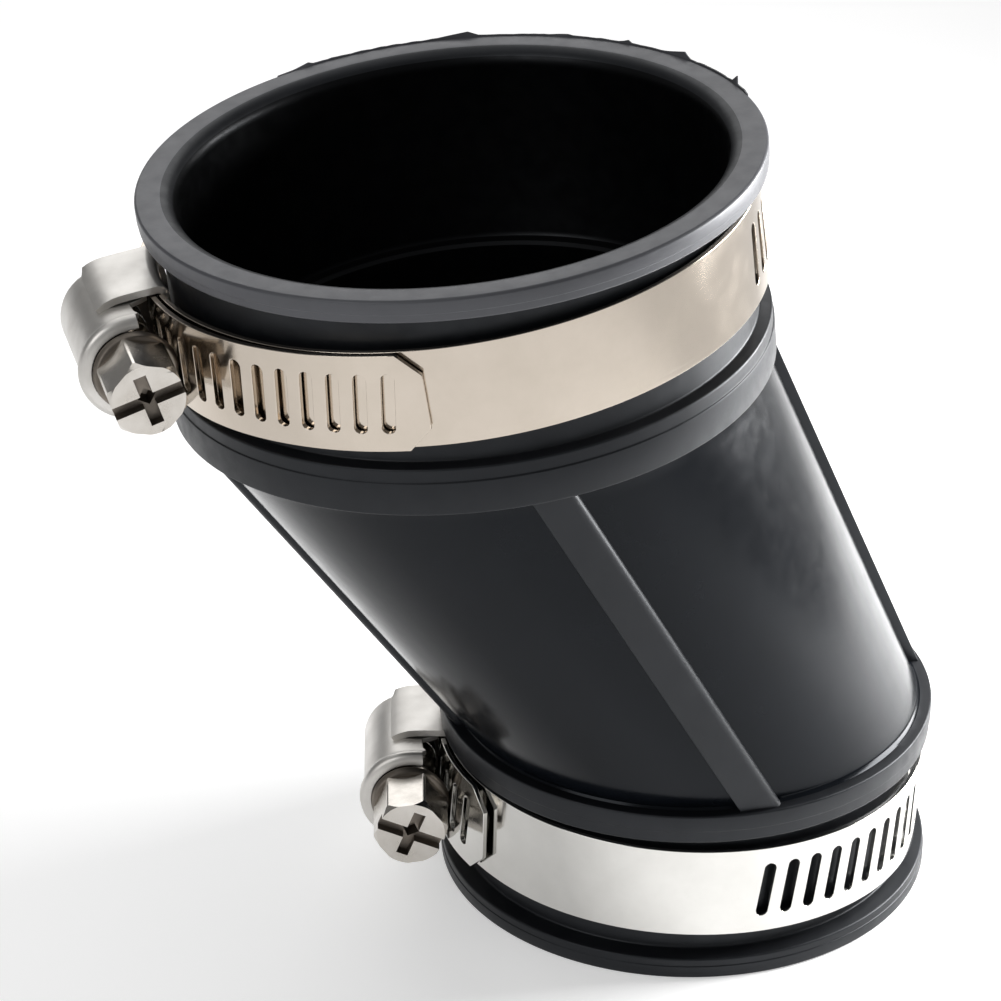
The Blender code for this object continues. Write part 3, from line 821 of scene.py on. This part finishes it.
def slottedRun(name, count):
    # one cell: the middle is opened, a slanted slot outline goes in, the two are bridged, then repeated
    look = bandLook
    piece = flatGrid(name, look["pitch"], look["columns"])
    inX, inY = look["pitch"] - hair, look["width"] / 2 - hair
    pickVerts(piece, lambda co: hair < co.x < inX and abs(co.y) < inY)
    bpy.ops.mesh.delete(type="VERT")
    middle = Vector((look["pitch"] / 2, 0, 0))
    bpy.ops.mesh.primitive_circle_add(vertices=12, radius=look["slotWidth"] / 2, location=middle)
    halfStep = math.radians(15)
    bpy.ops.transform.rotate(value=halfStep, orient_axis="Z", center_override=middle)
    scaleAbout(middle, (1 / math.cos(halfStep), 1, 1))
    straight = (look["slotLength"] - look["slotWidth"]) / 2

    def inSlot(co):
        return abs(co.x - middle.x) < look["pitch"] / 2 - 0.1 * mm

    for side in (1, -1):
        pickVerts(piece, lambda co: 5 * hair < co.y * side < look["slotWidth"] and inSlot(co))
        bpy.ops.transform.translate(value=(0, side * straight, 0))
    pickEdges(piece, lambda a, b: abs(a.y - b.y) > straight and inSlot(a))
    bpy.ops.mesh.subdivide(number_cuts=look["rows"] - 2)
    bpy.ops.mesh.select_mode(type="VERT")
    pickVerts(piece, lambda co: inSlot(co) and abs(co.y) < look["slotLength"] / 2 + hair)
    bpy.ops.transform.rotate(value=look["slant"], orient_axis="Z", center_override=middle)
    pickAll()
    bpy.ops.mesh.bridge_edge_loops()
    closeEdit()
    applyModifier(piece, "ARRAY", count=count, use_relative_offset=False, use_constant_offset=True,
                  constant_offset_displace=(look["pitch"], 0, 0), use_merge_vertices=True,
                  merge_threshold=0.02 * mm)
    return piece


def stripToBand(parts, name, matrix, course, meanRadius, start):
    # welds the flat lengths, gives them thickness and soft edges, then winds them round the cuff
    look = bandLook
    piece = joinAll(parts, name)
    openEdit(piece)
    finishMesh(0.02 * mm)
    if sum(face.normal.z * face.area for face in piece.data.polygons) < 0:
        flipFaces(piece)
    applyModifier(piece, "SOLIDIFY", thickness=look["thickness"], offset=1.0, use_even_offset=False)
    smoothAndSoften(piece, look["edge"], 2, 50)
    mesh = piece.data
    unwrapped = mesh.uv_layers.get("along") or mesh.uv_layers.new(name="along")
    for loop in mesh.loops:
        place = mesh.vertices[loop.vertex_index].co
        unwrapped.data[loop.index].uv = ((place.x + start) / look["mapUnit"], place.y / look["mapUnit"])
    flatNormals = [corner.vector.copy() for corner in mesh.corner_normals]
    turn = matrix.to_3x3()
    directions = []
    for vert in mesh.vertices:
        angle = (start + vert.co.x) / meanRadius
        radius = course(angle)
        slope = (course(angle + 0.02) - course(angle - 0.02)) / 0.04
        out = Vector((math.cos(angle), math.sin(angle), 0))
        roundWay = Vector((-math.sin(angle), math.cos(angle), 0))
        faceOut = (out * radius - roundWay * slope).normalized()
        faceRound = (roundWay * radius + out * slope).normalized()
        directions.append((turn @ faceRound, turn @ Vector((0, 0, 1)), turn @ faceOut))
        spot = out * (radius + vert.co.z)
        spot.z = vert.co.y
        vert.co = matrix @ spot
    bent = []
    for loop, flat in zip(mesh.loops, flatNormals):
        along, up, out = directions[loop.vertex_index]
        bent.append((along * flat.x + up * flat.y + out * flat.z).normalized())
    mesh.normals_split_custom_set(bent)
    return piece


def makeLoop(prefix, matrix):
    look = clampLook[prefix]
    pitch = bandLook["pitch"]
    course, inner = bandCourse(prefix + "_band_loop", matrix, seamAngle)
    meanRadius = inner + bandLook["thickness"] / 2
    length = 2 * math.pi * meanRadius + bandLook["loopEnd"] - bandLook["loopStart"]
    plain = look["plainAngle"] * meanRadius - bandLook["loopStart"]
    slots = int(round((length - plain) / pitch))
    first = flatGrid("plainRun", plain, int(round(plain / bandLook["plainStep"])))
    closeEdit()
    second = slottedRun("slottedRun", slots)
    placeIn(second, Matrix.Translation((plain, 0, 0)))
    return stripToBand([first, second], prefix + "BandLoop", matrix, course, meanRadius,
                       bandLook["loopStart"])


def makeTail(prefix, matrix, meanRadius):
    look = clampLook[prefix]
    pitch = bandLook["pitch"]
    course, inner = bandCourse(prefix + "_band_tail", matrix, -math.pi)
    run = slottedRun("tailRun", look["tailSlots"])
    tip = flatGrid("tailTip", bandLook["corner"], 3)
    narrow = 1 - bandLook["corner"] / (bandLook["width"] / 2)
    for step in (1, 2, 3):
        at = bandLook["corner"] * step / 3
        pickVerts(tip, lambda co: abs(co.x - at) < hair)
        scaleAbout((at, 0, 0), (1, 1 + (narrow - 1) * step / 3, 1))
    closeEdit()
    placeIn(tip, Matrix.Translation((look["tailSlots"] * pitch, 0, 0)))
    return stripToBand([run, tip], prefix + "BandTail", matrix, course, meanRadius, bandLook["tailStart"])


housingLook = {
    "radius": 5.8 * mm,
    "shell": 0.65 * mm,
    "lipGap": 0.25 * mm,
    "points": 48,
    # (distance along the screw, growth of the dome's radius)
    "stations": [(-8.62, -5.7), (-8.6, -1.7), (-8.55, -1.0), (-8.35, -0.45), (-8.0, -0.12),
                 (-7.5, 0.0), (-4.0, 0.0), (0.0, 0.0), (2.6, 0.0), (3.1, 0.0), (3.6, 0.0), (4.2, 0.0),
                 (5.7, 0.0), (6.35, -0.04), (6.6, 0.0), (6.85, 0.24), (7.2, 0.44), (7.6, 0.56),
                 (8.0, 0.50), (8.3, 0.30), (8.5, -0.02), (8.6, -0.45), (8.62, -0.95)],
    "legSteps": 3,
    "legStep": 0.8 * mm,
    "edge": 0.13 * mm,
    "legFront": 2.8 * mm,        # past this the upper leg stops short, which leaves the throat open
    "shortLeg": 1.5 * mm,
    "sealedBehind": -8.61 * mm,  # the two halves of the end wall meet in the middle past this
    "throatRun": 0.8 * mm,
    "nib": (6.2 * mm, 0.55 * mm, 0.35 * mm),     # place along the screw, drop, half width
}


def thickenShell(piece, thickness):
    # the inside of the pressed shell takes the darker, slightly rougher steel: its darkness is painted
    # shade
    addSkins(piece, "housingSteel", "paintedShadeSteel")
    applyModifier(piece, "SOLIDIFY", thickness=thickness, offset=-1.0, use_even_offset=True,
                  material_offset=1)


def makeDome(prefix, matrix, height, lipRadius):
    # half a tube over the screw with straight legs, a bullnose at the back and a rolled collar in front
    look = housingLook
    clearSelection()
    bpy.ops.mesh.primitive_circle_add(vertices=look["points"], radius=look["radius"],
                                      rotation=(math.pi / 2, 0, 0))
    piece = startEdit(prefix + "HousingDome")
    pickVerts(piece, lambda co: co.x < -5 * hair)
    bpy.ops.mesh.delete(type="VERT")
    for step in range(look["legSteps"]):
        pickVerts(piece, lambda co: abs(co.x + step * look["legStep"]) < 5 * hair)
        pullOut((-look["legStep"], 0, 0))
    pickAll()
    position, growth = 0.0, 0.0
    for index, (along, grow) in enumerate(look["stations"]):
        move = (0, along * mm - position, 0)
        if index:
            pullOut(move)
        else:
            bpy.ops.transform.translate(value=move)
        size = (look["radius"] + grow * mm) / (look["radius"] + growth)
        scaleAbout((0, along * mm, 0), (size, 1, size))
        position, growth = along * mm, grow * mm
    finishMesh()
    places = [along * mm for along, grow in look["stations"]]
    growths = [grow for along, grow in look["stations"]]
    legLength = look["legSteps"] * look["legStep"]
    nibAt, nibDrop, nibHalf = look["nib"]
    for vert in piece.data.vertices:  # legs end on an arc just above the band
        size = 1 + numpy.interp(vert.co.y, places, growths) / (look["radius"] / mm)
        if vert.co.x < -10 * hair * size:
            lip = math.sqrt(lipRadius ** 2 - vert.co.y ** 2) - height
            pastStrap = (vert.co.y - look["legFront"]) / look["throatRun"]
            opened = min(max(pastStrap, 0), 1) if vert.co.z > 0 else 0.0
            nib = nibDrop * math.exp(-((vert.co.y - nibAt) / nibHalf) ** 2)
            lip += (-look["shortLeg"] - nib - lip) * opened
            vert.co.x = lip * min(1.0, -vert.co.x / (legLength * size))
        if vert.co.y < look["sealedBehind"]:
            vert.co.z = 0.0
    openEdit(piece)
    finishMesh()
    outward = sum((face.normal.x * face.center.x + face.normal.z * face.center.z) * face.area
                  for face in piece.data.polygons)
    if outward < 0:
        flipFaces(piece)
    thickenShell(piece, look["shell"])
    smoothAndSoften(piece, look["edge"], 3, 45)
    placeIn(piece, matrix @ Matrix.Translation((height, 0, 0)))
    return piece


strapLook = {
    "shell": 0.85 * mm,
    "rear": -8.1 * mm,
    "front": 3.4 * mm,
    "slices": 14,
    "footIn": 2.4 * mm,
    "proud": 0.1 * mm,
    "edge": 0.3 * mm,
}


def strapOutline(height, wallOut, lipRadius, footRadius):
    # outer face of a side strap as (height above the screw, across), from the dome to under the band
    lip = lipRadius - height
    foot = footRadius - height
    return [
        (2.48 * mm, 5.88 * mm), (1.95 * mm, 6.2 * mm), (1.4 * mm, 6.46 * mm), (0.8 * mm, 6.66 * mm),
        (0.2 * mm, 6.8 * mm), (-0.6 * mm, wallOut - 0.03 * mm), (-1.8 * mm, wallOut), (lip, wallOut),
        ((lip + foot) / 2, wallOut), (foot + 1.1 * mm, wallOut - 0.02 * mm),
        (foot + 0.5 * mm, wallOut - 0.22 * mm), (foot + 0.14 * mm, wallOut - 0.62 * mm),
        (foot, wallOut - 1.15 * mm), (foot, wallOut - strapLook["footIn"]),
    ]


def makeStrap(name, side, matrix, height, wallOut, lipRadius, footRadius):
    look = strapLook
    outline = strapOutline(height, wallOut, lipRadius, footRadius)
    piece = drawOutline(name, [(up, look["rear"], across * side) for up, across in outline])
    pickAll()
    stride = (look["front"] - look["rear"]) / look["slices"]
    for index in range(look["slices"]):
        pullOut((0, stride, 0))
    finishMesh()
    # the lower part follows the band's curve, and the top edge dips at its back
    for vert in piece.data.vertices:
        sag = footRadius - math.sqrt(footRadius ** 2 - vert.co.y ** 2)
        share = min(max((-0.6 * mm - vert.co.x) / (-0.6 * mm - (lipRadius - height)), 0), 1)
        vert.co.x -= sag * share
        backward = max(0.0, (-5.9 * mm - vert.co.y) / (2.2 * mm))
        if vert.co.x > 2.0 * mm:
            vert.co.x -= 0.55 * mm * backward
            vert.co.z += 0.3 * mm * backward * side
    wall = [face for face in piece.data.polygons if abs(face.normal.z) > 0.9]
    if sum(face.normal.z * face.area for face in wall) * side < 0:
        flipFaces(piece)
    thickenShell(piece, look["shell"])
    smoothAndSoften(piece, look["edge"], 3, 45)
    placeIn(piece, matrix @ Matrix.Translation((height, 0, 0)))
    return piece


screwLook = {
    "acrossFlats": 8.2 * mm,
    "headLength": 7.1 * mm,
    "washerRadius": 4.95 * mm,
    "washerThickness": 0.9 * mm,
    "headStart": 8.85 * mm,
    "headEdge": 0.11 * mm,
    "cornerEdge": 0.32 * mm,
    "topGrowth": 0.10 * mm,      # how much wider than the flats the head's end face is
    "coneSlope": 1.7,
    "longArm": 9.5 * mm,
    "shortArm": 6.2 * mm,
    "pit": (0.5 * mm, 2.6 * mm),     # radius at its point and at the head's face
    "slotWidth": 1.6 * mm,
    "shelfDepth": 1.25 * mm,
    "crossDepth": 2.7 * mm,
    "threadRadius": 3.3 * mm,
    "coreRadius": 2.35 * mm,
    "threadLead": 3.12 * mm,
    "turnSteps": 28,
    "shankStart": -7.6 * mm,
}


def crossTool(length, taper, turn, headEnd):
    # one arm of the driver cross, narrower at its floor
    look = screwLook
    clearSelection()
    bpy.ops.mesh.primitive_cube_add(size=1.0)
    piece = startEdit("crossTool")
    pickAll()
    size = (length, 2 * look["shelfDepth"], look["slotWidth"])
    scaleAbout((0, 0, 0), size)
    pickVerts(piece, lambda co: co.y < 0)
    scaleAbout((0, 0, 0), (taper, 1, taper * 0.9))
    closeEdit()
    placeIn(piece, Matrix.Translation((0, headEnd, 0)) @ Matrix.Rotation(turn, 4, "Y"))
    return piece


def makeHead(prefix, matrix, height):
    look = screwLook
    washerEnd = look["headStart"] + look["washerThickness"]
    headEnd = washerEnd + look["headLength"]
    corner = look["acrossFlats"] / 2 / math.cos(math.radians(30))
    hidden = 0.2 * mm  # length sunk into the washer
    piece = cylinderAlongY(prefix + "ScrewHead", 6, corner, washerEnd - hidden, headEnd)
    pickEdges(piece, lambda a, b: abs(a.y - b.y) > 1 * mm)
    bpy.ops.mesh.bevel(offset=look["cornerEdge"], segments=3, affect="EDGES")
    closeEdit()
    topRadius = look["acrossFlats"] / 2 + look["topGrowth"]
    depth = look["headLength"] * 2
    # a cone turns the corners off, as on a turned bolt head, and a pointed pit deepens the cross
    corners = coneAlongY(96, topRadius + depth / look["coneSlope"], topRadius, depth, headEnd - depth / 2)
    cutWith(piece, corners, "INTERSECT")
    cutWith(piece, crossTool(look["longArm"], 1.0, 0.0, headEnd), "DIFFERENCE")
    cutWith(piece, crossTool(look["shortArm"], 0.97, math.pi / 2, headEnd), "DIFFERENCE")
    cutWith(piece, coneAlongY(4, *look["pit"], 2 * look["crossDepth"], headEnd), "DIFFERENCE")
    smoothAndSoften(piece, look["headEdge"], 2, 24)
    smoothBelow(piece, 40)
    washer = taperedCylinder("washerRing", 72, look["washerRadius"], look["headStart"], washerEnd,
                             washerEnd, 0.93, (0.2 * mm, 3))
    addSkins(piece, "screwSteel", "paintedShadeSteel")
    for face in piece.data.polygons:  # painted shade: the recess faces take the darker steel
        across, along, up = face.center
        deep = headEnd - 3.2 * mm < along < headEnd - 0.2 * mm
        inArms = min(abs(across), abs(up)) < look["slotWidth"] / 2 + 3 * hair
        inside = math.hypot(across, up) < look["acrossFlats"] / 2 - 5 * hair
        face.material_index = 1 if deep and inArms and inside else 0
    piece = joinAll([piece, washer], prefix + "ScrewHead")
    turnAll = Matrix.Rotation(clampLook[prefix]["screwTurn"], 4, "Y")
    placeIn(piece, matrix @ Matrix.Translation((height, 0, 0)) @ turnAll)
    return piece


def taperedCylinder(name, points, radius, start, end, taperAt, taper, soft):
    # the end at taperAt is drawn in, then all edges are softened; soft: (width, segments)
    piece = cylinderAlongY(name, points, radius, start, end)
    pickVerts(piece, lambda co: abs(co.y - taperAt) < 0.1 * mm)
    scaleAbout((0, taperAt, 0), (taper, 1, taper))
    closeEdit()
    softenEdges(piece, *soft, 30)
    smoothBelow(piece, 40)
    return piece


def makeWorm(prefix, matrix, height):
    # one lead of thread outline, wound by the screw modifier
    look = screwLook
    lead = look["threadLead"]
    crest, core = look["threadRadius"], look["coreRadius"]
    # (radius, share of the lead) round one turn
    outline = [(core, 0.0), (core, 0.16), (crest - 0.1 * mm, 0.36), (crest, 0.42), (crest, 0.58),
               (crest - 0.1 * mm, 0.64), (core, 0.84), (core, 1.0)]
    piece = drawOutline(prefix + "Worm", [(radius, share * lead, 0) for radius, share in outline])
    closeEdit()
    turns = int((look["headStart"] - look["shankStart"]) / lead) - 1
    steps = look["turnSteps"]
    applyModifier(piece, "SCREW", axis="Y", screw_offset=lead, iterations=turns, steps=steps,
                  render_steps=steps, use_merge_vertices=True, merge_threshold=hair, use_smooth_shade=True)
    openEdit(piece)
    bpy.ops.mesh.select_non_manifold()
    bpy.ops.mesh.edge_face_add()
    finishMesh()
    smoothBelow(piece, 40)
    low = min(vert.co.y for vert in piece.data.vertices)
    placeIn(piece, matrix @ Matrix.Translation((height, look["shankStart"] - low, 0)))
    return piece


def makeNeck(prefix, matrix, height):
    # plain shank between the thread and the head, and the core inside the thread
    look = screwLook
    piece = taperedCylinder(prefix + "ScrewShank", 40, look["coreRadius"] - 5 * hair, look["shankStart"],
                            look["headStart"] + 0.3 * mm, look["shankStart"], 0.8, (0.25 * mm, 2))
    placeIn(piece, matrix @ Matrix.Translation((height, 0, 0)))
    return piece


def makeClamp(prefix):
    matrix, screwHeight = clampFrame(prefix)
    clampBody, tailBody, screwBody = prefix + "_clamp", prefix + "_tail", prefix + "_screw"
    bandSlot, housingSlot = prefix + "_band_steel", prefix + "_housing_steel"
    screwSlot = prefix + "_screw_steel"
    bandSteel, screwSteel = finishes[prefix + "BandSteel"], finishes["screwSteel"]
    # the second finish is the painted shade on the shells' insides
    shellFinishes = [finishes["housingSteel"], finishes["paintedShadeSteel"]]
    loop = makeLoop(prefix, matrix)
    settle(loop, clampBody, bandSlot, [bandSteel], prefix + "_band_loop")
    loopInner = bandCourse(prefix + "_band_loop", matrix, seamAngle)[1]
    tail = makeTail(prefix, matrix, loopInner + bandLook["thickness"] / 2)
    settle(tail, tailBody, bandSlot, [bandSteel], prefix + "_band_tail")
    print(prefix, "band made:", len(loop.data.polygons), "and", len(tail.data.polygons), "faces")
    toClamp = matrix.inverted()
    places = [toClamp @ vert.co for vert in frame["nodes"][prefix + "_clamp_housing"].data.vertices]
    wallOut = max(place.z for place in places)
    footRadius = min(math.hypot(place.x, place.y) for place in places)
    tailOutside = bandCourse(prefix + "_band_tail", matrix, -math.pi)[0](0.0) + bandLook["thickness"]
    lipRadius = tailOutside + housingLook["lipGap"]
    dome = makeDome(prefix, matrix, screwHeight, lipRadius)
    settle(dome, clampBody, housingSlot, shellFinishes, prefix + "_clamp_housing")
    for side, label in ((1, "StrapTop"), (-1, "StrapBottom")):
        strap = makeStrap(prefix + label, side, matrix, screwHeight, wallOut + strapLook["proud"],
                          lipRadius, footRadius)
        settle(strap, clampBody, housingSlot, shellFinishes)
    head = makeHead(prefix, matrix, screwHeight)
    settle(head, screwBody, screwSlot, [screwSteel, finishes["paintedShadeSteel"]], prefix + "_worm_screw")
    for part in (makeWorm(prefix, matrix, screwHeight), makeNeck(prefix, matrix, screwHeight)):
        settle(part, screwBody, screwSlot, [screwSteel])
    print(prefix, "housing and screw made, screw", round(screwHeight / mm, 2), "mm out")


for clampName in ("upper", "lower"):
    makeClamp(clampName)

studioLook = {
    "floor": {"Base Color": (0.86, 0.86, 0.86, 1), "Roughness": 0.7, "Specular IOR Level": 0.1,
              "Emission Color": (1, 1, 1, 1), "Emission Strength": 0.40},
    "air": {"Color": (1, 1, 1, 1), "Strength": 0.19},
    "lights": [
        # (name, place from the object's middle, width, height, watts)
        ("topSoftbox", (-0.10, 0.25, 0.95), 0.9, 0.9, 2.1),
        ("backSoftbox", (0.15, 0.94, 0.60), 1.0, 0.6, 3.0),
        ("keySoftbox", (-0.75, -0.45, 0.55), 0.5, 0.5, 2.1),
        ("sideStrip", (0.20, 0.01, 0.045), 0.13, 0.10, 1.15),
    ],
}


def makeFloor():
    clearSelection()
    bpy.ops.mesh.primitive_plane_add(size=8.0, location=(0, 0, 0))
    floor = bpy.context.object
    floor.name = "paleFloor"
    material, shader = newMaterial("paleFloor")
    setInputs(shader, studioLook["floor"])
    floor.data.materials.append(material)


def addToScene(name, data):
    thing = bpy.data.objects.new(name, data)
    bpy.context.scene.collection.objects.link(thing)
    return thing


def makeLights():
    middle = Vector((0, 0, 0.05))
    for name, offset, width, height, watts in studioLook["lights"]:
        data = bpy.data.lights.new(name, "AREA")
        data.shape = "RECTANGLE"
        data.size = width
        data.size_y = height
        data.energy = watts
        lamp = addToScene(name, data)
        lamp.visible_camera = False
        lamp.location = middle + Vector(offset)
        lamp.rotation_euler = (-Vector(offset)).to_track_quat("-Z", "Y").to_euler()
    world = bpy.data.worlds.new("studioAir")
    bpy.context.scene.world = world
    world.use_nodes = True
    setInputs(world.node_tree.nodes["Background"], studioLook["air"])


cameraLook = {
    "lens": 129.47,
    "sensor": 36.0,
    "nearest": 0.01,
    "yaw": math.radians(15.0),
    "pitch": math.radians(27.9),
    "roll": math.radians(-0.3),
    "aimBelowRim": 52.15 * mm,
    "distance": 437.0 * mm,
    "right": 5.53 * mm,
    "up": 6.88 * mm,
}


def makeCamera():
    look = cameraLook
    yaw, pitch, roll = look["yaw"], look["pitch"], look["roll"]
    ahead = Vector((math.sin(yaw) * math.cos(pitch), math.cos(yaw) * math.cos(pitch), -math.sin(pitch)))
    levelRight = Vector((math.cos(yaw), -math.sin(yaw), 0))
    levelUp = levelRight.cross(ahead)
    right = levelRight * math.cos(roll) + levelUp * math.sin(roll)
    up = levelUp * math.cos(roll) - levelRight * math.sin(roll)
    data = bpy.data.cameras.new("studioCamera")
    data.lens = look["lens"]
    data.sensor_width = look["sensor"]
    data.clip_start = look["nearest"]
    camera = addToScene("studioCamera", data)
    spot = upperEnd - Vector((0, 0, look["aimBelowRim"])) - ahead * look["distance"]
    spot += right * look["right"] + up * look["up"]
    turn = Matrix((right, up, -ahead)).transposed().to_4x4()
    turn.translation = spot
    camera.matrix_world = turn
    bpy.context.scene.camera = camera


makeFloor()
makeLights()
makeCamera()
bpy.context.scene.view_settings.view_transform = "Standard"
print("floor, lights and camera made")
